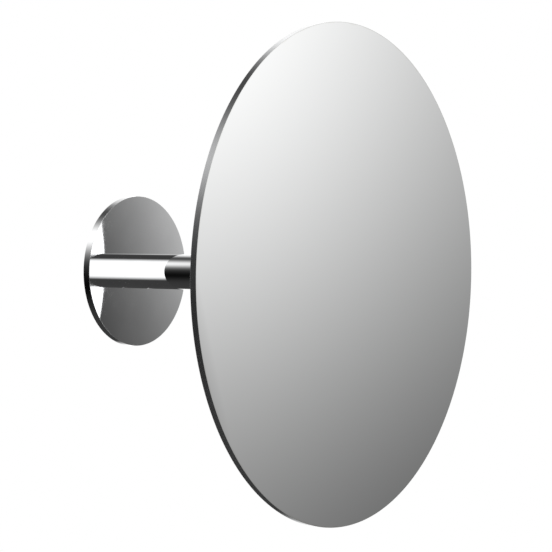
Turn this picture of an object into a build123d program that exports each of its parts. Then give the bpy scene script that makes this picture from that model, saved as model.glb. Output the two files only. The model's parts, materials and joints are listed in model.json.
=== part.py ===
# Extendable shaving mirror: wall rose, three-stage telescopic arm, ball joint and round mirror head.
# Millimetres. The wall is the plane Y = 0, the arm runs out along -Y, and Z is up.
# The origin is the middle of the face that meets the wall. The arm is drawn pushed right in.

from build123d import *
import os
from math import acos, asin, cos, degrees, radians, sin, sqrt, tan

os.makedirs("parts", exist_ok=True)

# Mirror head
mirror_diameter = 200.0
mirror_edge = 2.6  # height of the polished rim
mirror_reach = 112.5  # wall to mirror face, arm pushed in
pan_wall = 0.5
pan_corner = 0.1
pan_lip = 0.1  # front edge of the rim, left by the bevel inside it
film_thickness = 0.2
film_margin = 4.0  # bare ring round the film
glass_gap = 0.05  # glass edge to pan rim

# Wall fixing
rose_diameter = 65.0
rose_depth = 3.2
rose_wall = 0.8
rose_skirt = 1.2
rose_edge = 0.1
rose_hole_gap = 0.1
bracket_gap = 2.3  # bracket's edge to the rose's skirt
fixing_edge = 9.0  # middle of a wall screw to the bracket's edge
fixing_hole = 4.5
fixing_sink = 7.0
foot_width = 4.5  # spigot's foot beyond its stud
foot_thickness = 0.6
spigot_length = 12.0  # beyond the rose
spigot_lead = 1.0  # bevel at the tip

# Screws: the one behind the bracket, the one under the arm and the one in the collar
bracket_screw = 4.0
bracket_screw_head = 7.5
bracket_screw_end = 7.0  # distance of its tip from the wall
bracket_screw_socket = 2.5
grub_screw_size = 4.0
grub_screw_seat = 7.0  # beyond the rose
grub_screw_tip = 2.6  # distance of its tip from the arm's axis
grub_screw_socket = 2.0
collar_screw_size = 3.0
collar_screw_seat = 3.0  # ahead of the ball's centre
collar_screw_socket = 1.5
socket_depth = 1.2
sink_angle = 90.0  # whole angle of every countersink
screw_point = 0.6
screw_recess = 0.15  # screw end below the surface it sits in
thread_run_out = 0.3  # hole beyond a screw's tip

# Telescopic arm
arm_diameter = 15.0
tube_wall = 1.0
bush_wall = 1.0
key_flat = 0.4  # flat along the underside of the moving stages
key_width = 3.0
key_length = 2.5
key_recess = 0.15  # key below the tube's surface
lip_thickness = 1.2
lip_overlap = 1.0  # lip of the middle bush beyond its tube
lip_edge = 0.3
outer_bush_depth = 9.0
middle_bush_depth = 8.0
middle_sleeve_length = 10.0
inner_sleeve_length = 9.0
sleeve_slit = 1.6
sleeve_margin = 0.5  # sleeve to the tail of its tube
groove_depth = 0.8
groove_margin = 1.0  # groove to the tail of the rod
pip_diameter = 3.0
tail_gap = 2.0  # spigot to middle tube
tail_step = 3.0  # tail of the middle tube to tail of the rod

# Ball joint
ball_diameter = 16.0
neck_diameter = 5.0
hexagon_lip = 0.5  # flats of the stud's hexagon beyond the rod
hexagon_length = 3.0
stud_thread_wall = 1.0  # rod left round the stud's thread
stud_thread_length = 10.0
shell_thickness = 1.5
swing = 25.0  # to each side, about the upright axis and about the level one
swing_margin = 1.5
shell_margin = 4.5  # degrees from the front shell to the rear seat at the end of its swing
neck_margin = 0.35  # neck to the collar's mouth at the end of its swing
seat_wall = 2.9  # rear seat beyond the ball
seat_gap = 0.1  # rear seat to the socket's end
spring_height = 1.0
spring_thickness = 0.4
socket_floor = 2.0
socket_rear = 1.5  # end of the socket, behind the ball's centre
socket_wall = 2.9
flange_diameter = 44.0
flange_thickness = 1.6
flange_edge = 0.8
collar_wall = 2.0
collar_gap = 0.5  # collar to the root of the socket
collar_trim = 0.8  # cut square off the collar's sharp mouth
dome_gap = 0.8  # collar to the stud's hexagon, at any tilt
spanner_hole = 2.5
spanner_hole_depth = 1.2
spanner_hole_step = 11.0  # degrees from the collar's mouth

# Clearances
running_fit = 0.06  # sliding and turning faces, on the radius
press_fit = 0.02  # pieces pushed or screwed together, on the radius
key_fit = 0.05
stage_gap = 0.3  # between the ends of the stages
spring_gap = 0.05

# Radii of the arm, from the outside in
outer_radius = arm_diameter / 2
outer_bore = outer_radius - tube_wall
middle_radius = outer_bore - bush_wall
middle_bore = middle_radius - tube_wall
rod_radius = middle_bore - bush_wall
groove_radius = rod_radius - groove_depth
spigot_radius = outer_bore - press_fit
hexagon = 2 * (rod_radius + hexagon_lip)

# Sizes of the wall fixing
bracket_radius = rose_diameter / 2 - rose_skirt - bracket_gap
bracket_thickness = rose_depth - rose_wall - foot_thickness
fixing_spacing = 2 * (bracket_radius - fixing_edge)

# Radii of the ball joint, from the inside out
ball_radius = ball_diameter / 2
neck_radius = neck_diameter / 2
shell_inner = ball_radius + running_fit
shell_outer = shell_inner + shell_thickness
socket_radius = shell_outer + running_fit
boss_radius = socket_radius + socket_wall
collar_bore = boss_radius + press_fit
dome_radius = collar_bore + collar_wall
seat_radius = ball_radius + seat_wall
seat_bore = seat_radius + running_fit

# Distances from the wall, from the mirror back to the tails of the stages
pan_back = mirror_reach - mirror_edge
ball_out = pan_back - socket_floor - socket_radius
hexagon_front = ball_out - dome_radius - dome_gap
rod_front = hexagon_front - hexagon_length
middle_mouth = rod_front - stage_gap - lip_thickness
outer_mouth = middle_mouth - stage_gap - lip_thickness
spigot_end = rose_depth + spigot_length
middle_tail = spigot_end + tail_gap
middle_sleeve_tail = middle_tail + sleeve_margin
rod_tail = middle_tail + tail_step
groove_tail = rod_tail + groove_margin

# The neck's furthest lean gives the cone of the collar's mouth: radius = slope * depth + offset
full_swing = acos(cos(radians(swing)) ** 2) + radians(swing_margin)
mouth_slope = tan(full_swing)
mouth_offset = neck_radius / cos(full_swing) + neck_margin


def mouth_meets(radius):
    """Depth behind the ball's centre where the mouth's cone meets a sphere of that radius."""
    square = mouth_slope**2 + 1
    cross = mouth_slope * mouth_offset
    return (sqrt(cross**2 - square * (mouth_offset**2 - radius**2)) - cross) / square


# Distances ahead of the ball's centre, along the head's axis
head_back = pan_back - ball_out
flange_back = head_back - flange_thickness
collar_front = flange_back - collar_wall - collar_gap

# Distances behind the ball's centre, along the head's axis
seat_front = socket_rear + seat_gap
seat_rear = mouth_meets(shell_inner)
shoulder = seat_rear + 2 * spring_gap + spring_height
collar_rear = mouth_meets(dome_radius) - collar_trim
shoulder_radius = mouth_slope * shoulder + mouth_offset

# Angles from the head's axis
shell_angle = 90 + degrees(asin(seat_front / shell_outer)) - swing - shell_margin
collar_angle = degrees(acos(collar_rear / dome_radius))
spanner_hole_angle = radians(collar_angle + spanner_hole_step)

# Profiles of turned pieces: local x runs out from the wall, local y is the radius
turning = Plane(origin=(0, 0, 0), x_dir=(0, -1, 0), z_dir=(-1, 0, 0))
ball_turning = Plane(origin=(0, -ball_out, 0), x_dir=(0, -1, 0), z_dir=(-1, 0, 0))


def outward(distance):
    """Plane parallel to the wall, that far out from it, facing the user."""
    return Plane.XZ.offset(distance)


def downward(distance, drop=0.0):
    """Level plane facing down, that far out from the wall and that far below the arm's axis."""
    return Plane(origin=(0, -distance, -drop), x_dir=(1, 0, 0), z_dir=(0, 0, -1))


def keyed_section(radius):
    """Round section with a flat along its underside."""
    with BuildSketch() as section:
        Circle(radius)
        with Locations((0, -radius)):
            Rectangle(2 * radius, 2 * key_flat, mode=Mode.SUBTRACT)
    return section.sketch


def key_section(inner, outer, width):
    """Upright rectangle on the underside, for a bush's key or a tube's notch."""
    with BuildSketch() as section:
        with Locations((0, -(inner + outer) / 2)):
            Rectangle(width, outer - inner)
    return section.sketch


middle_section = keyed_section(middle_radius)
rod_section = keyed_section(rod_radius)


def guide_bush(mouth, depth, tube_radius, tube_bore, lip_radius, stage_radius):
    """Bush in a tube's mouth: a sleeve, a lip outside and a key in the tube's notch."""
    bore = keyed_section(stage_radius + running_fit)
    key = key_section(tube_bore - bush_wall / 2, tube_radius - key_recess, key_width)
    with BuildPart() as bush:
        with BuildSketch(outward(mouth - depth)):
            Circle(tube_bore - press_fit)
            add(bore, mode=Mode.SUBTRACT)
        extrude(amount=depth)
        with BuildSketch(outward(mouth)):
            add(key)
        extrude(amount=-key_length)
        with BuildSketch(outward(mouth)):
            Circle(lip_radius)
            add(bore, mode=Mode.SUBTRACT)
        extrude(amount=lip_thickness)
        front = bush.edges().filter_by(GeomType.CIRCLE).group_by(Axis.Y)[0]
        chamfer(front.sort_by(SortBy.RADIUS)[-1], lip_edge)
    return bush.part


def split_sleeve(tail, length, inner, bore):
    """Friction sleeve that springs outward in its bore, slit along its top."""
    outer = bore - running_fit
    with BuildPart() as sleeve:
        with BuildSketch(outward(tail)):
            Circle(outer)
            Circle(inner + press_fit, mode=Mode.SUBTRACT)
            with Locations((0, (inner + outer) / 2)):
                Rectangle(sleeve_slit, 2 * (outer - inner), mode=Mode.SUBTRACT)
        extrude(amount=length)
    return sleeve.part


def set_screw(distance, tip, end, size, socket):
    """Headless screw under the arm, point upward, with a hexagon socket in its lower end."""
    with BuildPart() as screw:
        with BuildSketch(downward(distance, tip)):
            Circle(size / 2)
        extrude(amount=end - tip)
        chamfer(screw.edges().group_by(Axis.Z)[-1], screw_point)
        with BuildSketch(downward(distance, end)):
            RegularPolygon(socket / 2, 6, major_radius=False)
        extrude(amount=-socket_depth, mode=Mode.SUBTRACT)
    return screw.part


# Hole for the screw from behind, through the bracket and into the spigot
screw_hole = bracket_screw / 2 + press_fit
screw_sink = bracket_screw_head / 2 + press_fit
screw_hole_depth = bracket_screw_end + thread_run_out

# Wall bracket, sunk from the front for the wall screws and from behind for the spigot's screw
with BuildPart() as wall_bracket:
    with BuildSketch(outward(0)):
        Circle(bracket_radius)
    extrude(amount=bracket_thickness)
    with Locations(outward(bracket_thickness)):
        with GridLocations(0, fixing_spacing, 1, 2):
            CounterSinkHole(fixing_hole / 2, fixing_sink / 2, counter_sink_angle=sink_angle)
    with Locations(-outward(0)):
        CounterSinkHole(screw_hole, screw_sink, counter_sink_angle=sink_angle)
wall_bracket.part.label = "wall_bracket"
export_step(wall_bracket.part, "parts/wall_bracket.step")

# Countersunk screw that holds the spigot, its head just below the bracket's back
with BuildPart() as spigot_screw:
    sink_slope = tan(radians(sink_angle / 2))
    head_depth = (bracket_screw_head - bracket_screw) / 2 / sink_slope
    with BuildSketch(turning):
        with BuildLine():
            Polyline(
                (screw_recess, 0),
                (screw_recess, bracket_screw_head / 2 - screw_recess * sink_slope),
                (head_depth, bracket_screw / 2),
                (bracket_screw_end, bracket_screw / 2),
                (bracket_screw_end, 0),
                close=True,
            )
        make_face()
    revolve(axis=Axis.Y)
    with BuildSketch(outward(screw_recess)):
        RegularPolygon(bracket_screw_socket / 2, 6, major_radius=False)
    extrude(amount=socket_depth, mode=Mode.SUBTRACT)
spigot_screw.part.label = "spigot_screw"
export_step(spigot_screw.part, "parts/spigot_screw.step")

# Spigot: a foot between bracket and rose, and a stud inside the arm
with BuildPart() as bracket_spigot:
    with BuildSketch(turning):
        with BuildLine():
            Polyline(
                (bracket_thickness, 0),
                (bracket_thickness, spigot_radius + foot_width),
                (rose_depth - rose_wall, spigot_radius + foot_width),
                (rose_depth - rose_wall, spigot_radius),
                (spigot_end - spigot_lead, spigot_radius),
                (spigot_end, spigot_radius - spigot_lead),
                (spigot_end, 0),
                close=True,
            )
        make_face()
    revolve(axis=Axis.Y)
    with Locations(-outward(0)):
        CounterSinkHole(screw_hole, screw_sink, screw_hole_depth, sink_angle)
    with BuildSketch(downward(rose_depth + grub_screw_seat, grub_screw_tip - thread_run_out)):
        Circle(grub_screw_size / 2 + press_fit)
    extrude(amount=outer_radius, mode=Mode.SUBTRACT)
bracket_spigot.part.label = "bracket_spigot"
export_step(bracket_spigot.part, "parts/bracket_spigot.step")

# Wall rose, a shallow cup over the bracket
with BuildPart() as wall_rose:
    with BuildSketch(turning):
        with BuildLine():
            Polyline(
                (0, rose_diameter / 2),
                (0, rose_diameter / 2 - rose_skirt),
                (rose_depth - rose_wall, rose_diameter / 2 - rose_skirt),
                (rose_depth - rose_wall, spigot_radius + rose_hole_gap),
                (rose_depth, spigot_radius + rose_hole_gap),
                (rose_depth, rose_diameter / 2),
                close=True,
            )
        make_face()
    revolve(axis=Axis.Y)
    rose_rim = wall_rose.edges().filter_by(GeomType.CIRCLE).group_by(Axis.Y)[0]
    fillet(rose_rim.sort_by(SortBy.RADIUS)[-1], rose_edge)
wall_rose.part.label = "wall_rose"
export_step(wall_rose.part, "parts/wall_rose.step")

# Outer tube, with the set screw's hole near the rose and a notch for the bush's key at its mouth
with BuildPart() as outer_tube:
    with BuildSketch(outward(rose_depth)):
        Circle(outer_radius)
        Circle(outer_bore, mode=Mode.SUBTRACT)
    extrude(amount=outer_mouth - rose_depth)
    with BuildSketch(downward(rose_depth + grub_screw_seat)):
        Circle(grub_screw_size / 2 + key_fit)
    extrude(amount=2 * outer_radius, mode=Mode.SUBTRACT)
    with BuildSketch(outward(outer_mouth)):
        add(key_section(outer_bore - tube_wall, outer_radius + tube_wall, key_width + 2 * key_fit))
    extrude(amount=-key_length - key_fit, mode=Mode.SUBTRACT)
outer_tube.part.label = "outer_tube"
export_step(outer_tube.part, "parts/outer_tube.step")

# Set screw in the spigot, its end in the tube's hole
grub_screw = set_screw(
    rose_depth + grub_screw_seat,
    grub_screw_tip,
    outer_radius - 2 * screw_recess,
    grub_screw_size,
    grub_screw_socket,
)
grub_screw.label = "grub_screw"
export_step(grub_screw, "parts/grub_screw.step")

# Guide bush of the outer tube
outer_bush = guide_bush(
    outer_mouth, outer_bush_depth, outer_radius, outer_bore, outer_radius, middle_radius
)
outer_bush.label = "outer_bush"
export_step(outer_bush, "parts/outer_bush.step")

# Middle tube, with the holes for its sleeve's pips and the notch for its bush's key
pip_plane = Plane(
    origin=(0, -middle_sleeve_tail - middle_sleeve_length / 2, 0), x_dir=(0, 1, 0), z_dir=(1, 0, 0)
)
with BuildPart() as middle_tube:
    with BuildSketch(outward(middle_tail)):
        add(middle_section)
        Circle(middle_bore, mode=Mode.SUBTRACT)
    extrude(amount=middle_mouth - middle_tail)
    with BuildSketch(pip_plane):
        Circle(pip_diameter / 2 + key_fit)
    extrude(amount=middle_radius, both=True, mode=Mode.SUBTRACT)
    with BuildSketch(outward(middle_mouth)):
        add(key_section(middle_bore - tube_wall, middle_radius + tube_wall, key_width + 2 * key_fit))
    extrude(amount=-key_length - key_fit, mode=Mode.SUBTRACT)
middle_tube.part.label = "middle_tube"
export_step(middle_tube.part, "parts/middle_tube.step")

# Friction sleeve of the middle tube, held by a pip in each side of the tube's wall
with BuildPart() as middle_sleeve:
    add(split_sleeve(middle_sleeve_tail, middle_sleeve_length, middle_radius, outer_bore))
    with BuildSketch(pip_plane.offset(middle_bore + key_fit)):
        Circle(pip_diameter / 2)
    extrude(amount=(middle_radius + outer_bore) / 2 - middle_bore)
    mirror(about=Plane.YZ)
middle_sleeve.part.label = "middle_sleeve"
export_step(middle_sleeve.part, "parts/middle_sleeve.step")

# Guide bush of the middle tube
middle_bush = guide_bush(
    middle_mouth,
    middle_bush_depth,
    middle_radius - key_flat,
    middle_bore,
    middle_radius + lip_overlap,
    rod_radius,
)
middle_bush.label = "middle_bush"
export_step(middle_bush, "parts/middle_bush.step")

# Inner rod, tapped in front for the ball stud and grooved at its tail for its sleeve
with BuildPart() as inner_rod:
    with BuildSketch(outward(rod_tail)):
        add(rod_section)
    extrude(amount=rod_front - rod_tail)
    with BuildSketch(outward(groove_tail)):
        Circle(rod_radius + groove_depth)
        Circle(groove_radius, mode=Mode.SUBTRACT)
    extrude(amount=inner_sleeve_length, mode=Mode.SUBTRACT)
    with BuildSketch(outward(rod_front)):
        Circle(rod_radius - stud_thread_wall)
    extrude(amount=-stud_thread_length - thread_run_out, mode=Mode.SUBTRACT)
inner_rod.part.label = "inner_rod"
export_step(inner_rod.part, "parts/inner_rod.step")

# Friction sleeve of the inner rod
inner_sleeve = split_sleeve(
    groove_tail + press_fit, inner_sleeve_length - 2 * press_fit, groove_radius, middle_bore
)
inner_sleeve.label = "inner_sleeve"
export_step(inner_sleeve, "parts/inner_sleeve.step")

# Ball stud: threaded shank in the rod, hexagon against the rod's end, neck and ball
with BuildPart() as ball_stud:
    shank_radius = rod_radius - stud_thread_wall - press_fit
    neck_end = ball_out - sqrt(ball_radius**2 - neck_radius**2)
    neck_angle = degrees(acos(sqrt(ball_radius**2 - neck_radius**2) / ball_radius))
    with BuildSketch(outward(rod_front - stud_thread_length)):
        Circle(shank_radius)
    extrude(amount=stud_thread_length)
    with BuildSketch(outward(rod_front)):
        RegularPolygon(hexagon / 2, 6, major_radius=False)
    extrude(amount=hexagon_length)
    with BuildSketch(turning):
        with BuildLine():
            Polyline(
                (ball_out + ball_radius, 0),
                (hexagon_front, 0),
                (hexagon_front, neck_radius),
                (neck_end, neck_radius),
            )
            CenterArc((ball_out, 0), ball_radius, 180 - neck_angle, neck_angle - 180)
        make_face()
    revolve(axis=Axis.Y)
ball_stud.part.label = "ball_stud"
export_step(ball_stud.part, "parts/ball_stud.step")

# Front shell, a cup with both faces round the ball's centre
with BuildPart() as front_ball_shell:
    with BuildSketch(ball_turning):
        with BuildLine():
            inside = CenterArc((0, 0), shell_inner, 0, shell_angle)
            outside = CenterArc((0, 0), shell_outer, 0, shell_angle)
            Line(inside @ 0, outside @ 0)
            Line(inside @ 1, outside @ 1)
        make_face()
    revolve(axis=Axis.Y)
front_ball_shell.part.label = "front_ball_shell"
export_step(front_ball_shell.part, "parts/front_ball_shell.step")

# Rear seat, a ring that bears on the back of the ball
with BuildPart() as rear_ball_seat:
    front_angle = degrees(acos(-seat_front / shell_inner))
    rear_angle = degrees(acos(-seat_rear / shell_inner))
    with BuildSketch(ball_turning):
        with BuildLine():
            bearing = CenterArc((0, 0), shell_inner, front_angle, rear_angle - front_angle)
            Polyline(bearing @ 0, (-seat_front, seat_radius), (-seat_rear, seat_radius), bearing @ 1)
        make_face()
    revolve(axis=Axis.Y)
rear_ball_seat.part.label = "rear_ball_seat"
export_step(rear_ball_seat.part, "parts/rear_ball_seat.step")

# Coned spring washer between the seat and the collar's shoulder
with BuildPart() as disc_spring:
    spring_front = -seat_rear - spring_gap
    spring_rear = spring_front - spring_height
    with BuildSketch(ball_turning):
        with BuildLine():
            Polyline(
                (spring_front, shoulder_radius + spring_gap),
                (spring_front - spring_thickness, shoulder_radius + spring_gap),
                (spring_rear, seat_radius - spring_gap),
                (spring_rear + spring_thickness, seat_radius - spring_gap),
                close=True,
            )
        make_face()
    revolve(axis=Axis.Y)
disc_spring.part.label = "disc_spring"
export_step(disc_spring.part, "parts/disc_spring.step")

# Socket: a boss round the front shell, on a flange against the pan
with BuildPart() as socket_base:
    with BuildSketch(ball_turning):
        with BuildLine():
            Polyline(
                (socket_radius, 0),
                (head_back, 0),
                (head_back, flange_diameter / 2),
                (head_back - flange_edge, flange_diameter / 2),
                (flange_back, flange_diameter / 2 - flange_thickness + flange_edge),
                (flange_back, boss_radius + collar_wall),
            )
            RadiusArc(
                (flange_back, boss_radius + collar_wall),
                (flange_back - collar_wall, boss_radius),
                collar_wall,
            )
            Polyline(
                (flange_back - collar_wall, boss_radius),
                (-socket_rear, boss_radius),
                (-socket_rear, socket_radius),
                (0, socket_radius),
            )
            CenterArc((0, 0), socket_radius, 90, -90)
        make_face()
    revolve(axis=Axis.Y)
socket_base.part.label = "socket_base"
export_step(socket_base.part, "parts/socket_base.step")

# Collar: screws over the boss, holds seat and spring in, and opens as a cone for the neck
with BuildPart() as socket_collar:
    with BuildSketch(ball_turning):
        with BuildLine():
            dome = CenterArc((0, 0), dome_radius, 90, 90 - collar_angle)
            Polyline(
                dome @ 1,
                (-collar_rear, mouth_slope * collar_rear + mouth_offset),
                (-shoulder, shoulder_radius),
                (-shoulder, seat_bore),
                (-socket_rear - press_fit, seat_bore),
                (-socket_rear - press_fit, collar_bore),
                (collar_front, collar_bore),
                (collar_front, dome_radius),
                dome @ 0,
            )
        make_face()
    revolve(axis=Axis.Y)
    with BuildSketch(downward(ball_out + collar_screw_seat, boss_radius)):
        Circle(collar_screw_size / 2 + press_fit)
    extrude(amount=2 * collar_wall, mode=Mode.SUBTRACT)
    for side in (-1, 1):
        lean = Vector(side * sin(spanner_hole_angle), cos(spanner_hole_angle), 0)
        floor = Vector(0, -ball_out, 0) + lean * (dome_radius - spanner_hole_depth)
        with BuildSketch(Plane(origin=floor, z_dir=lean)):
            Circle(spanner_hole / 2)
        extrude(amount=2 * spanner_hole_depth, mode=Mode.SUBTRACT)
socket_collar.part.label = "socket_collar"
export_step(socket_collar.part, "parts/socket_collar.step")

# Set screw that locks the collar on the boss
collar_set_screw = set_screw(
    ball_out + collar_screw_seat,
    collar_bore,
    dome_radius - screw_recess,
    collar_screw_size,
    collar_screw_socket,
)
collar_set_screw.label = "collar_set_screw"
export_step(collar_set_screw, "parts/collar_set_screw.step")

# Pan: a pressed tray whose rim is the mirror's polished edge
with BuildPart() as mirror_pan:
    with BuildSketch(outward(pan_back)):
        Circle(mirror_diameter / 2)
    extrude(amount=mirror_edge)
    with BuildSketch(outward(pan_back + pan_wall)):
        Circle(mirror_diameter / 2 - pan_wall)
    extrude(amount=mirror_edge, mode=Mode.SUBTRACT)
    fillet(mirror_pan.edges().group_by(Axis.Y)[-1], pan_corner)
    pan_mouth = mirror_pan.edges().group_by(Axis.Y)[0]
    chamfer(pan_mouth.sort_by(SortBy.RADIUS)[0], pan_wall - pan_lip)
mirror_pan.part.label = "mirror_pan"
export_step(mirror_pan.part, "parts/mirror_pan.step")

# Adhesive film
glass_radius = mirror_diameter / 2 - pan_wall - glass_gap
with BuildPart() as bonding_film:
    with BuildSketch(outward(pan_back + pan_wall)):
        Circle(glass_radius - film_margin)
    extrude(amount=film_thickness)
bonding_film.part.label = "bonding_film"
export_step(bonding_film.part, "parts/bonding_film.step")

# Mirror glass, flush with the rim, flared to hide the rim's bevel
with BuildPart() as mirror_glass:
    glass_flare = pan_wall - pan_lip
    with BuildSketch(turning):
        with BuildLine():
            Polyline(
                (pan_back + pan_wall + film_thickness, 0),
                (pan_back + pan_wall + film_thickness, glass_radius),
                (mirror_reach - glass_flare, glass_radius),
                (mirror_reach, glass_radius + glass_flare),
                (mirror_reach, 0),
                close=True,
            )
        make_face()
    revolve(axis=Axis.Y)
mirror_glass.part.label = "mirror_glass"
export_step(mirror_glass.part, "parts/mirror_glass.step")
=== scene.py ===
import bpy
import bmesh
import json
from math import cos, pi, radians, sin
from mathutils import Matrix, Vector


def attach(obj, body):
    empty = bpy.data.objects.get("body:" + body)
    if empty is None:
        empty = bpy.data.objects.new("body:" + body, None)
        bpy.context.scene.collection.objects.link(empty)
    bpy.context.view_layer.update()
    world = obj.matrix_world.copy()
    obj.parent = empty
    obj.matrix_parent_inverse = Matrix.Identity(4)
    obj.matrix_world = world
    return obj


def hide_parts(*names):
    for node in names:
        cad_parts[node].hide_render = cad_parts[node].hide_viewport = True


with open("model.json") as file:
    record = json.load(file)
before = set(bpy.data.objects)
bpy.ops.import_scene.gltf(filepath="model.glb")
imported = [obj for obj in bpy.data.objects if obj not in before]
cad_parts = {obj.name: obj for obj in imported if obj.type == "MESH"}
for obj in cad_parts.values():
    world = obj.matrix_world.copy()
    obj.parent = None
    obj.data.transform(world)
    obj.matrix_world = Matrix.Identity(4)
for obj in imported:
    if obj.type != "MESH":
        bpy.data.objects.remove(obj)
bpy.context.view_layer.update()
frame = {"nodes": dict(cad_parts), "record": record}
print("shaving mirror: frame loaded,", len(frame["nodes"]), "nodes")

scene = bpy.context.scene
scene.view_settings.view_transform = "Standard"
scene.view_settings.look = "None"


# camera, level with the mirror and to its left
cameraSet = {
    "lens": 109.37,
    "sensor": 36,
    "near": 0.01,
    "place": (-0.5625, -0.4730, 0.0184),
    "looks": (0.8169, 0.5762, -0.0281),
}


def addCamera(spec):
    data = bpy.data.cameras.new("photoCamera")
    data.lens = spec["lens"]
    data.sensor_width = spec["sensor"]
    data.clip_start = spec["near"]
    camera = bpy.data.objects.new("photoCamera", data)
    camera.location = spec["place"]
    camera.rotation_euler = Vector(spec["looks"]).to_track_quat("-Z", "Y").to_euler()
    scene.collection.objects.link(camera)
    scene.camera = camera


addCamera(cameraSet)
print("shaving mirror: camera placed")


# small helpers for node trees
def feed(tree, socket, value):
    if isinstance(value, bpy.types.NodeSocket):
        tree.links.new(value, socket)
    else:
        socket.default_value = value


def calc(tree, operation, *values):
    node = tree.nodes.new("ShaderNodeMath")
    node.operation = operation
    for socket, value in zip(node.inputs, values):
        feed(tree, socket, value)
    return node.outputs[0]


def fade(tree, value, fromLow, fromHigh, toLow, toHigh, kind="SMOOTHSTEP"):
    node = tree.nodes.new("ShaderNodeMapRange")
    node.interpolation_type = kind
    for name, amount in (("Value", value), ("From Min", fromLow), ("From Max", fromHigh),
                         ("To Min", toLow), ("To Max", toHigh)):
        feed(tree, node.inputs[name], amount)
    return node.outputs["Result"]


# the mix node has sockets of each kind under the same names: 6, 7 and out 2 are its colours
def tint(tree, mask, first, second):
    node = tree.nodes.new("ShaderNodeMix")
    node.data_type = "RGBA"
    feed(tree, node.inputs[0], mask)
    feed(tree, node.inputs[6], first)
    feed(tree, node.inputs[7], second)
    return node.outputs[2]


# studio light: angles in degrees, first round from the front towards +X, then up
# rays: which reflections show a light; stops: the span of y over which its first reflection fades in
studioLight = {
    "base": 0.084,
    "baseTilt": -0.036,  # a little more from the front
    "firstBelow": 1.5,  # in glossy depth, as the next
    "deepFrom": (1.46, 3),
    "boxes": {
        # one lamp: gentle in a first reflection, at full strength in all else
        "front": {"aim": (-54.3, 13.6), "core": 36.6, "edge": 61.1, "strength": 2.75,
                  "rays": "others"},
        "frontSoft": {"aim": (-45, 35), "core": 5, "edge": 74, "strength": 0.7, "rays": "first"},
        # pale ground and side that a turned mirror reflects
        "groundSoft": {"aim": (25, -48), "core": 5, "edge": 45, "strength": 0.28, "rays": "first"},
        "groundLeft": {"aim": (-70, -36), "core": 5, "edge": 42, "strength": 0.4, "rays": "first"},
        "sideSoft": {"aim": (96, -8), "core": 3, "edge": 26, "strength": 0.4, "rays": "first"},
        # stops short of the sides, or a mirror turned nearly edge on would burn out
        "back": {"aim": (111.2, 6.2), "core": 8.5, "edge": 48.1, "strength": 1.35,
                 "stops": (0.36, 0.53)},
        "rear": {"aim": (180, 0), "core": 18, "edge": 47, "strength": 0.5},
        "top": {"aim": (0, 90), "core": 12, "edge": 26, "strength": 1.2},
        "ground": {"aim": (0, -90), "core": 12, "edge": 34, "strength": 0.5},
    },
    "glows": {
        "side": {"aim": (-155.9, 30.8), "spread": 10.6, "strength": 3.0},
        "backMiddle": {"aim": (127, -1.5), "spread": 5.2, "strength": 2.1},
        "backHigh": {"aim": (117.4, 47.5), "spread": 9.6, "strength": 6.5, "stops": (0.3, 0.52)},
        # shows only in the reflection of a reflection
        "backDeep": {"aim": (128, 4), "spread": 22, "strength": 6, "rays": "deep"},
    },
    "flags": {
        "left": {"aim": (-137.8, -14.9), "spread": 18.6, "depth": 0.958},
        "right": {"aim": (60.1, -10.5), "spread": 7.9, "depth": 0.95},
    },
    # the glow that the mirror and the rose show, cut off by the edge of a card
    "face": {"aim": (50.44, 10.67), "wide": 8.61, "tall": 11.63, "ahead": (0, 0.5),
             "strength": 1.149},
    "card": {"turn": 51.81, "lean": 11.35, "wide": 4.83, "curve": 2.06},
    "backdrop": 1.0,
}


def towards(turn, up):
    turn, up = radians(turn), radians(up)
    return Vector((sin(turn) * cos(up), -cos(turn) * cos(up), sin(up)))


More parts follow.
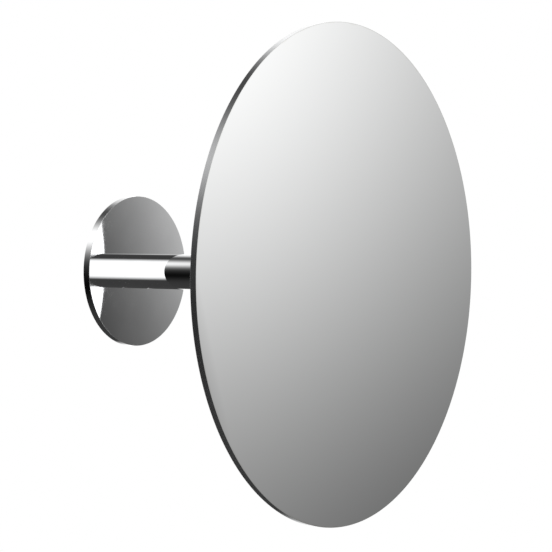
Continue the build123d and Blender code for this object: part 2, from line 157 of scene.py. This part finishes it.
def lightStudio(spec):
    world = bpy.data.worlds.new("studioLight")
    world.use_nodes = True
    scene.world = world
    tree = world.node_tree
    nodes = tree.nodes
    nodes.clear()
    direction = nodes.new("ShaderNodeTexCoord").outputs["Generated"]

    def along(vector):
        node = nodes.new("ShaderNodeVectorMath")
        node.operation = "DOT_PRODUCT"
        feed(tree, node.inputs[0], direction)
        feed(tree, node.inputs[1], vector)
        return node.outputs["Value"]

    def glow(part):
        sharp = 1 / radians(part["spread"]) ** 2
        away = calc(tree, "SUBTRACT", along(towards(*part["aim"])), 1)
        return calc(tree, "EXPONENT", calc(tree, "MULTIPLY", away, sharp))

    def falloff(vector, spread):
        off = along(vector)
        square = calc(tree, "MULTIPLY", off, off)
        return calc(tree, "MULTIPLY", square, -0.5 / radians(spread) ** 2)

    def plain(strength):
        node = nodes.new("ShaderNodeBackground")
        node.inputs["Color"].default_value = (1, 1, 1, 1)
        feed(tree, node.inputs["Strength"], strength)
        return node.outputs[0]

    rays = nodes.new("ShaderNodeLightPath")
    glossy, depth = rays.outputs["Is Glossy Ray"], rays.outputs["Glossy Depth"]
    first = calc(tree, "MULTIPLY", glossy, calc(tree, "LESS_THAN", depth, spec["firstBelow"]))
    deep = fade(tree, depth, *spec["deepFrom"], 0, 1, "LINEAR")
    shares = {
        "first": first,
        "others": calc(tree, "SUBTRACT", 1, first),
        "deep": calc(tree, "MULTIPLY", glossy, deep),
    }
    wallward = along((0, 1, 0))

    def limited(part, amount):
        if "stops" in part:
            short = fade(tree, wallward, *part["stops"], 1, 0)
            kept = calc(tree, "SUBTRACT", 1, calc(tree, "MULTIPLY", first, short))
            amount = calc(tree, "MULTIPLY", amount, kept)
        if "rays" in part:
            amount = calc(tree, "MULTIPLY", amount, shares[part["rays"]])
        return amount

    light = calc(tree, "MULTIPLY_ADD", wallward, spec["baseTilt"], spec["base"])
    for flag in spec["flags"].values():
        shade = calc(tree, "MULTIPLY_ADD", glow(flag), -flag["depth"], 1)
        light = calc(tree, "MULTIPLY", light, shade)
    for box in spec["boxes"].values():
        edge, core = cos(radians(box["edge"])), cos(radians(box["core"]))
        amount = fade(tree, along(towards(*box["aim"])), edge, core, 0, box["strength"])
        light = calc(tree, "ADD", light, limited(box, amount))
    for part in spec["glows"].values():
        light = calc(tree, "MULTIPLY_ADD", limited(part, glow(part)), part["strength"], light)

    face, card = spec["face"], spec["card"]
    turn, up = face["aim"]
    soft = calc(tree, "ADD", falloff(towards(turn + 90, 0), face["wide"]),
                falloff(towards(turn, up + 90), face["tall"]))
    ahead = fade(tree, along(towards(*face["aim"])), *face["ahead"], 0, face["strength"])
    soft = calc(tree, "MULTIPLY", calc(tree, "EXPONENT", soft), ahead)
    lean = radians(card["lean"])
    across = along(towards(card["turn"] + 90, 0) * cos(lean) + Vector((0, 0, sin(lean))))
    clear = fade(tree, across, -sin(radians(card["wide"])), 0, 0, 1, "LINEAR")
    light = calc(tree, "MULTIPLY_ADD", soft, calc(tree, "POWER", clear, card["curve"]), light)

    # only the camera sees the backdrop
    seen = nodes.new("ShaderNodeMixShader")
    tree.links.new(rays.outputs["Is Camera Ray"], seen.inputs[0])
    tree.links.new(plain(light), seen.inputs[1])
    tree.links.new(plain(spec["backdrop"]), seen.inputs[2])
    out = nodes.new("ShaderNodeOutputWorld")
    tree.links.new(seen.outputs[0], out.inputs["Surface"])


lightStudio(studioLight)
print("shaving mirror: studio lit")


# shared effects
def newGroup(name, inputs, outputs):
    tree = bpy.data.node_groups.new(name, "ShaderNodeTree")
    for label, kind, value in inputs:
        socket = tree.interface.new_socket(label, in_out="INPUT", socket_type=kind)
        if value is not None:
            socket.default_value = value
    for label, kind in outputs:
        tree.interface.new_socket(label, in_out="OUTPUT", socket_type=kind)
    return tree, tree.nodes.new("NodeGroupInput"), tree.nodes.new("NodeGroupOutput")


def noise(tree, vector, scale, detail=2.0, rough=0.5):
    node = tree.nodes.new("ShaderNodeTexNoise")
    feed(tree, node.inputs["Vector"], vector)
    feed(tree, node.inputs["Scale"], scale)
    node.inputs["Detail"].default_value = detail
    node.inputs["Roughness"].default_value = rough
    return node.outputs["Fac"]


# rings left by turning and buffing: across a disc and along a tube they are the same
def makeTurnedRings():
    tree, inside, outside = newGroup(
        "turnedRings",
        [("Vector", "NodeSocketVector", None), ("Fineness", "NodeSocketFloat", 3000.0)],
        [("Rings", "NodeSocketFloat"), ("Radius", "NodeSocketFloat")],
    )
    split = tree.nodes.new("ShaderNodeSeparateXYZ")
    tree.links.new(inside.outputs["Vector"], split.inputs[0])
    x, y, z = split.outputs
    square = calc(tree, "MULTIPLY", x, x)
    radius = calc(tree, "SQRT", calc(tree, "MULTIPLY_ADD", z, z, square))
    join = tree.nodes.new("ShaderNodeCombineXYZ")
    tree.links.new(radius, join.inputs["X"])
    tree.links.new(y, join.inputs["Y"])
    rings = noise(tree, join.outputs[0], inside.outputs["Fineness"], detail=3.0, rough=0.6)
    tree.links.new(rings, outside.inputs["Rings"])
    tree.links.new(radius, outside.inputs["Radius"])
    return tree


# slow patches, for plating, oil and handling
def makePatches():
    tree, inside, outside = newGroup(
        "patches",
        [("Vector", "NodeSocketVector", None), ("Scale", "NodeSocketFloat", 60.0),
         ("Low", "NodeSocketFloat", 0.35), ("High", "NodeSocketFloat", 0.65)],
        [("Mask", "NodeSocketFloat")],
    )
    cloud = noise(tree, inside.outputs["Vector"], inside.outputs["Scale"], detail=4.0, rough=0.55)
    mask = fade(tree, cloud, inside.outputs["Low"], inside.outputs["High"], 0, 1)
    tree.links.new(mask, outside.inputs["Mask"])
    return tree


# fine even grain of a moulded or blackened surface
grainSet = {"coarseScale": 0.31, "coarseShare": 0.6, "specks": (0.6, 0.72)}


def makeGrain(spec):
    tree, inside, outside = newGroup(
        "grain",
        [("Vector", "NodeSocketVector", None), ("Scale", "NodeSocketFloat", 6000.0)],
        [("Height", "NodeSocketFloat"), ("Specks", "NodeSocketFloat")],
    )
    vector, scale = inside.outputs["Vector"], inside.outputs["Scale"]
    fine = noise(tree, vector, scale, detail=2.0, rough=0.6)
    coarse = noise(tree, vector, calc(tree, "MULTIPLY", scale, spec["coarseScale"]), detail=1.0)
    height = calc(tree, "MULTIPLY_ADD", coarse, spec["coarseShare"], fine)
    tree.links.new(height, outside.inputs["Height"])
    tree.links.new(fade(tree, fine, *spec["specks"], 0, 1), outside.inputs["Specks"])
    return tree


turnedRings = makeTurnedRings()
patches = makePatches()
grain = makeGrain(grainSet)


# steps that the finishes share
def newFinish(name, **constants):
    material = bpy.data.materials.new(name)
    material.use_nodes = True
    tree = material.node_tree
    shader = tree.nodes["Principled BSDF"]
    for label, value in constants.items():
        shader.inputs[label].default_value = value
    place = tree.nodes.new("ShaderNodeTexCoord").outputs["Object"]
    return material, tree, shader, place


def useGroup(tree, group, vector, **values):
    node = tree.nodes.new("ShaderNodeGroup")
    node.node_tree = group
    tree.links.new(vector, node.inputs["Vector"])
    for label, value in values.items():
        feed(tree, node.inputs[label], value)
    return node.outputs


def useCells(tree, vector, scale):
    node = tree.nodes.new("ShaderNodeTexVoronoi")
    node.inputs["Scale"].default_value = scale
    tree.links.new(vector, node.inputs["Vector"])
    return node.outputs


def paint(tree, shader, mask, first, second):
    tree.links.new(tint(tree, mask, first, second), shader.inputs["Base Color"])


def roughen(tree, shader, mask, gloss, low=0, high=1):
    tree.links.new(fade(tree, mask, low, high, *gloss), shader.inputs["Roughness"])


def relief(tree, shader, height, strength, distance):
    bump = tree.nodes.new("ShaderNodeBump")
    bump.inputs["Strength"].default_value = strength
    bump.inputs["Distance"].default_value = distance
    tree.links.new(height, bump.inputs["Height"])
    tree.links.new(bump.outputs[0], shader.inputs["Normal"])


# polished chrome: buffing rings that hardly show, and slow haze in the gloss
chromeLook = {
    "dark": (0.600, 0.602, 0.605, 1),
    "light": (0.621, 0.623, 0.626, 1),
    "gloss": (0.02, 0.05),
}


def makeChrome(spec):
    material, tree, shader, place = newFinish("polishedChrome", Metallic=1.0)
    haze = useGroup(tree, patches, place, Scale=55.0)["Mask"]
    rings = useGroup(tree, turnedRings, place, Fineness=5200.0)["Rings"]
    paint(tree, shader, haze, spec["dark"], spec["light"])
    wear = calc(tree, "MULTIPLY", haze, rings)
    roughen(tree, shader, wear, spec["gloss"], low=0.1, high=0.6)
    relief(tree, shader, rings, strength=0.02, distance=0.00002)
    return material


# brushed back of the mirror: fine lines round the middle
backLook = {
    "dark": (0.55, 0.552, 0.556, 1),
    "light": (0.67, 0.672, 0.675, 1),
    "gloss": (0.2, 0.3),
    "wiping": 0.3,
}


def makeBrushedBack(spec):
    material, tree, shader, place = newFinish("brushedBack", Metallic=0.85)
    rings = useGroup(tree, turnedRings, place, Fineness=1500.0)["Rings"]
    wiped = useGroup(tree, patches, place, Scale=30.0)["Mask"]
    paint(tree, shader, rings, spec["dark"], spec["light"])
    worn = calc(tree, "MULTIPLY_ADD", wiped, spec["wiping"], rings)
    roughen(tree, shader, worn, spec["gloss"], low=0.35, high=0.95)
    relief(tree, shader, rings, strength=0.1, distance=0.00003)
    return material


# satin edge of the mirror: lines ground round the rim
rimLook = {
    "dark": (0.325, 0.328, 0.332, 1),
    "light": (0.364, 0.366, 0.368, 1),
    "gloss": (0.11, 0.15),
}


def makeSatinRim(spec):
    material, tree, shader, place = newFinish("satinRim", Metallic=0.955)
    rings = useGroup(tree, turnedRings, place, Fineness=9000.0)["Rings"]
    wear = useGroup(tree, patches, place, Scale=130.0)["Mask"]
    paint(tree, shader, rings, spec["dark"], spec["light"])
    roughen(tree, shader, wear, spec["gloss"])
    relief(tree, shader, rings, strength=0.05, distance=0.00003)
    return material


# silvered glass: clear middle, a hair of tarnish at the edge, wiping haze
glassLook = {
    "silver": (0.915, 0.92, 0.918, 1),
    "tarnish": (0.86, 0.86, 0.84, 1),
    "edge": 0.0998,  # metres from the middle, as the next two
    "creep": 0.0007,
    "blur": (-0.0002, 0.0004),
    "gloss": (0.006, 0.022),
}


def makeMirror(spec):
    material, tree, shader, place = newFinish("silveredGlass", Metallic=1.0)
    radius = useGroup(tree, turnedRings, place, Fineness=900.0)["Radius"]
    creep = useGroup(tree, patches, place, Scale=210.0, Low=0.3, High=0.75)["Mask"]
    reach = calc(tree, "MULTIPLY_ADD", creep, spec["creep"], radius)
    inner, outer = (spec["edge"] + off for off in spec["blur"])
    paint(tree, shader, fade(tree, reach, inner, outer, 0, 1), spec["silver"], spec["tarnish"])
    haze = useGroup(tree, patches, place, Scale=24.0, Low=0.4, High=0.8)["Mask"]
    roughen(tree, shader, haze, spec["gloss"])
    return material


# zinc plate: small crystal patches, dull passivation
zincLook = {
    "grey": (0.50, 0.51, 0.53, 1),
    "blue": (0.60, 0.63, 0.68, 1),
    "straw": (0.62, 0.59, 0.50, 1),
    "gloss": (0.28, 0.46),
    "crystals": 420.0,
}


def makeZinc(spec):
    material, tree, shader, place = newFinish("zincPlate", Metallic=1.0)
    crystal = tree.nodes.new("ShaderNodeSeparateColor")
    tree.links.new(useCells(tree, place, spec["crystals"])["Color"], crystal.inputs[0])
    plated = tint(tree, crystal.outputs["Red"], spec["grey"], spec["blue"])
    stain = useGroup(tree, patches, place, Scale=90.0, Low=0.5, High=0.8)["Mask"]
    paint(tree, shader, stain, plated, spec["straw"])
    roughen(tree, shader, crystal.outputs["Green"], spec["gloss"])
    height = useGroup(tree, grain, place, Scale=2600.0)["Height"]
    relief(tree, shader, height, strength=0.08, distance=0.0001)
    return material


# turned steel: clear tool rings
steelLook = {
    "low": (0.42, 0.42, 0.43, 1),
    "high": (0.60, 0.60, 0.61, 1),
    "gloss": (0.22, 0.40),
}


def makeTurnedSteel(spec):
    material, tree, shader, place = newFinish("turnedSteel", Metallic=1.0)
    rings = useGroup(tree, turnedRings, place, Fineness=4200.0)["Rings"]
    paint(tree, shader, rings, spec["low"], spec["high"])
    roughen(tree, shader, rings, spec["gloss"], low=0.3, high=0.7)
    relief(tree, shader, rings, strength=0.25, distance=0.00005)
    return material


# black oxide screws: oily black with worn specks
oxideLook = {
    "black": (0.014, 0.014, 0.016, 1),
    "worn": (0.085, 0.085, 0.09, 1),
    "gloss": (0.32, 0.55),
}


def makeOxide(spec):
    material, tree, shader, place = newFinish("blackOxide", Metallic=0.7)
    spots = useGroup(tree, grain, place, Scale=5200.0)
    oil = useGroup(tree, patches, place, Scale=700.0)["Mask"]
    paint(tree, shader, spots["Specks"], spec["black"], spec["worn"])
    roughen(tree, shader, oil, spec["gloss"])
    relief(tree, shader, spots["Height"], strength=0.15, distance=0.00005)
    return material


# tempered spring steel: patches of blue and straw
springLook = {
    "blue": (0.16, 0.19, 0.27, 1),
    "straw": (0.36, 0.29, 0.19, 1),
    "gloss": (0.24, 0.38),
}


def makeSpring(spec):
    material, tree, shader, place = newFinish("springSteel", Metallic=1.0)
    rings = useGroup(tree, turnedRings, place, Fineness=2600.0)["Rings"]
    heat = useGroup(tree, patches, place, Scale=160.0)["Mask"]
    paint(tree, shader, heat, spec["blue"], spec["straw"])
    roughen(tree, shader, rings, spec["gloss"], low=0.3, high=0.7)
    relief(tree, shader, rings, strength=0.12, distance=0.00004)
    return material


# dark nylon bushes and pale acetal bearings, both moulded
nylonLook = {
    "dark": (0.012, 0.012, 0.013, 1),
    "pale": (0.026, 0.026, 0.028, 1),
    "gloss": (0.42, 0.6),
}
acetalLook = {
    "dark": (0.62, 0.60, 0.54, 1),
    "pale": (0.74, 0.72, 0.67, 1),
    "gloss": (0.28, 0.42),
}


def makeMoulded(name, spec):
    material, tree, shader, place = newFinish(name)
    skin = useGroup(tree, grain, place, Scale=7000.0)["Height"]
    flow = useGroup(tree, patches, place, Scale=240.0)["Mask"]
    paint(tree, shader, flow, spec["dark"], spec["pale"])
    roughen(tree, shader, skin, spec["gloss"], low=0.5, high=1.1)
    relief(tree, shader, skin, strength=0.12, distance=0.00005)
    return material


# adhesive film: milky, with small bubbles
filmLook = {
    "milky": (0.62, 0.62, 0.58, 1),
    "bubble": (0.40, 0.40, 0.38, 1),
    "gloss": (0.55, 0.3),
    "bubbles": 700.0,
    "bubbleEdge": (0.12, 0.2),
}


def makeFilm(spec):
    material, tree, shader, place = newFinish("bondingAdhesive")
    distance = useCells(tree, place, spec["bubbles"])["Distance"]
    bubbles = fade(tree, distance, *spec["bubbleEdge"], 1, 0)
    paint(tree, shader, bubbles, spec["milky"], spec["bubble"])
    roughen(tree, shader, bubbles, spec["gloss"])
    return material


finishes = {
    "polished_chrome": makeChrome(chromeLook),
    "mirror_glass": makeMirror(glassLook),
    "zinc_plate": makeZinc(zincLook),
    "turned_steel": makeTurnedSteel(steelLook),
    "screw_steel": makeOxide(oxideLook),
    "spring_steel": makeSpring(springLook),
    "dark_nylon": makeMoulded("darkNylon", nylonLook),
    "pale_acetal": makeMoulded("paleAcetal", acetalLook),
    "adhesive": makeFilm(filmLook),
}

for part in frame["record"]["subparts"]:
    frame["nodes"][part["node"]].material_slots[0].material = finishes[part["material_slot"]]


# turned pieces: a profile of (distance from the wall, radius) in mm, spun round the arm's axis
spinSet = {"seam": 0.000001, "sharpFrom": 30}  # metres, degrees


def onCircle(vert, out, radius):
    offs = (vert.co.y + out / 1000, vert.co.xz.length - radius / 1000)
    return all(abs(off) < spinSet["seam"] for off in offs)


def spinProfile(name, profile, rounds, steps, closed):
    bm = bmesh.new()
    points = [bm.verts.new((radius / 1000, -out / 1000, 0)) for out, radius in profile]
    ends = points[1:] + points[:1] if closed else points[1:]
    edges = [bm.edges.new(pair) for pair in zip(points, ends)]
    bmesh.ops.spin(bm, geom=points + edges, cent=(0, 0, 0), axis=(0, 1, 0), angle=2 * pi,
                   steps=steps, use_merge=True)
    bmesh.ops.remove_doubles(bm, verts=bm.verts, dist=spinSet["seam"])
    bmesh.ops.recalc_face_normals(bm, faces=bm.faces)
    for out, radius, size in rounds:
        rim = [e for e in bm.edges if all(onCircle(v, out, radius) for v in e.verts)]
        bmesh.ops.bevel(bm, geom=rim, offset=size / 1000, affect="EDGES", segments=4, profile=0.5,
                        material=-1)
    for face in bm.faces:
        face.smooth = True
    mesh = bpy.data.meshes.new(name)
    bm.to_mesh(mesh)
    bm.free()
    mesh.set_sharp_from_angle(angle=radians(spinSet["sharpFrom"]))
    piece = bpy.data.objects.new(name, mesh)
    scene.collection.objects.link(piece)
    return piece


def finishPiece(piece, node, body, slotName):
    if not piece.data.materials:
        piece.data.materials.append(finishes[slotName])
    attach(piece, body)
    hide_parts(node)


# wall rose: shallow cup with a crisp front edge; guard is the flat that is left beside its bevel
roseSet = {
    "radius": 32.5, "depth": 3.2, "wall": 0.8, "skirt": 1.2, "hole": 6.58,
    "edge": 0.04, "guard": 0.03, "steps": 256,
}


def makeRose(spec):
    r, d = spec["radius"], spec["depth"]
    inner, floor = r - spec["skirt"], d - spec["wall"]
    near = spec["edge"] + spec["guard"]
    profile = [(0, r), (0, inner), (floor, inner), (floor, spec["hole"]), (d, spec["hole"]),
               (d, r - near), (d, r), (d - near, r)]
    return spinProfile("roseShell", profile, [(d, r, spec["edge"])], spec["steps"], True)


finishPiece(makeRose(roseSet), "wall_rose", "wall_mount", "polished_chrome")
print("shaving mirror: rose turned")


# mirror pan: pressed tray with a crisp rim, bevelled inside to a fine front edge
panSet = {
    "radius": 100.0, "back": 109.9, "front": 112.5, "wall": 0.5, "lip": 0.1,
    "corner": 0.1, "guard": 0.03, "steps": 384,
    # which faces are rim and which are back: the y of a normal, and metres off the back
    "rimBelow": 0.3, "backAbove": 0.99, "offBack": 0.00001,
}


def makePan(spec):
    r, back, front = spec["radius"], spec["back"], spec["front"]
    near = spec["corner"] + spec["guard"]
    inner, floor = r - spec["wall"], back + spec["wall"]
    bevel = spec["wall"] - spec["lip"]
    profile = [(back, 0), (back, r - near), (back, r), (back + near, r), (front, r),
               (front, r - spec["lip"]), (front - bevel, inner), (floor, inner), (floor, 0)]
    piece = spinProfile("mirrorPanShell", profile, [(back, r, spec["corner"])], spec["steps"], False)
    for finish in (finishes["polished_chrome"], makeSatinRim(rimLook), makeBrushedBack(backLook)):
        piece.data.materials.append(finish)
    rimFinish, backFinish = 1, 2
    rimFrom = (r - spec["lip"]) / 1000
    for face in piece.data.polygons:
        offBack = abs(face.center.y + back / 1000)
        if abs(face.normal.y) < spec["rimBelow"] and face.center.xz.length > rimFrom:
            face.material_index = rimFinish
        elif face.normal.y > spec["backAbove"] and offBack < spec["offBack"]:
            face.material_index = backFinish
    return piece


finishPiece(makePan(panSet), "mirror_pan", "mirror_head", "polished_chrome")
print("shaving mirror: pan pressed")


# mirror glass: plate flared to its front edge, so that it hides the rim's bevel
plateSet = {"radius": 99.45, "back": 110.6, "front": 112.5, "flare": 0.44, "steps": 384}


def makePlate(spec):
    r, back, front, flare = spec["radius"], spec["back"], spec["front"], spec["flare"]
    profile = [(back, 0), (back, r), (front - flare, r), (front, r + flare), (front, 0)]
    return spinProfile("mirrorPlate", profile, [], spec["steps"], False)


finishPiece(makePlate(plateSet), "mirror_glass", "mirror_head", "mirror_glass")
print("shaving mirror: glass cut")


# pale studio floor, well below the mirror, that melts into the backdrop
floorSet = {
    "radius": 0.75, "height": -0.35, "middle": (0.05, -0.05), "segments": 96,
    "clear": 0.28, "gone": 0.72,
    "dark": (0.585, 0.585, 0.585, 1), "light": (0.60, 0.60, 0.60, 1),
}


def makeFloor(spec):
    bm = bmesh.new()
    bmesh.ops.create_circle(bm, cap_ends=True, segments=spec["segments"], radius=spec["radius"])
    bmesh.ops.translate(bm, verts=bm.verts, vec=(*spec["middle"], spec["height"]))
    mesh = bpy.data.meshes.new("studioFloor")
    bm.to_mesh(mesh)
    bm.free()
    floor = bpy.data.objects.new("studioFloor", mesh)
    scene.collection.objects.link(floor)
    material, tree, shader, place = newFinish("paleFloor", Roughness=0.8)
    split = tree.nodes.new("ShaderNodeSeparateXYZ")
    tree.links.new(place, split.inputs[0])
    x, y = (calc(tree, "SUBTRACT", split.outputs[axis], middle)
            for axis, middle in zip("XY", spec["middle"]))
    far = calc(tree, "SQRT", calc(tree, "MULTIPLY_ADD", x, x, calc(tree, "MULTIPLY", y, y)))
    tree.links.new(fade(tree, far, spec["clear"], spec["gone"], 1, 0), shader.inputs["Alpha"])
    cloud = useGroup(tree, patches, place, Scale=14.0)["Mask"]
    paint(tree, shader, cloud, spec["dark"], spec["light"])
    floor.data.materials.append(material)
    floor.visible_glossy = False


makeFloor(floorSet)
print("shaving mirror: floor laid")

print("shaving mirror: ready")
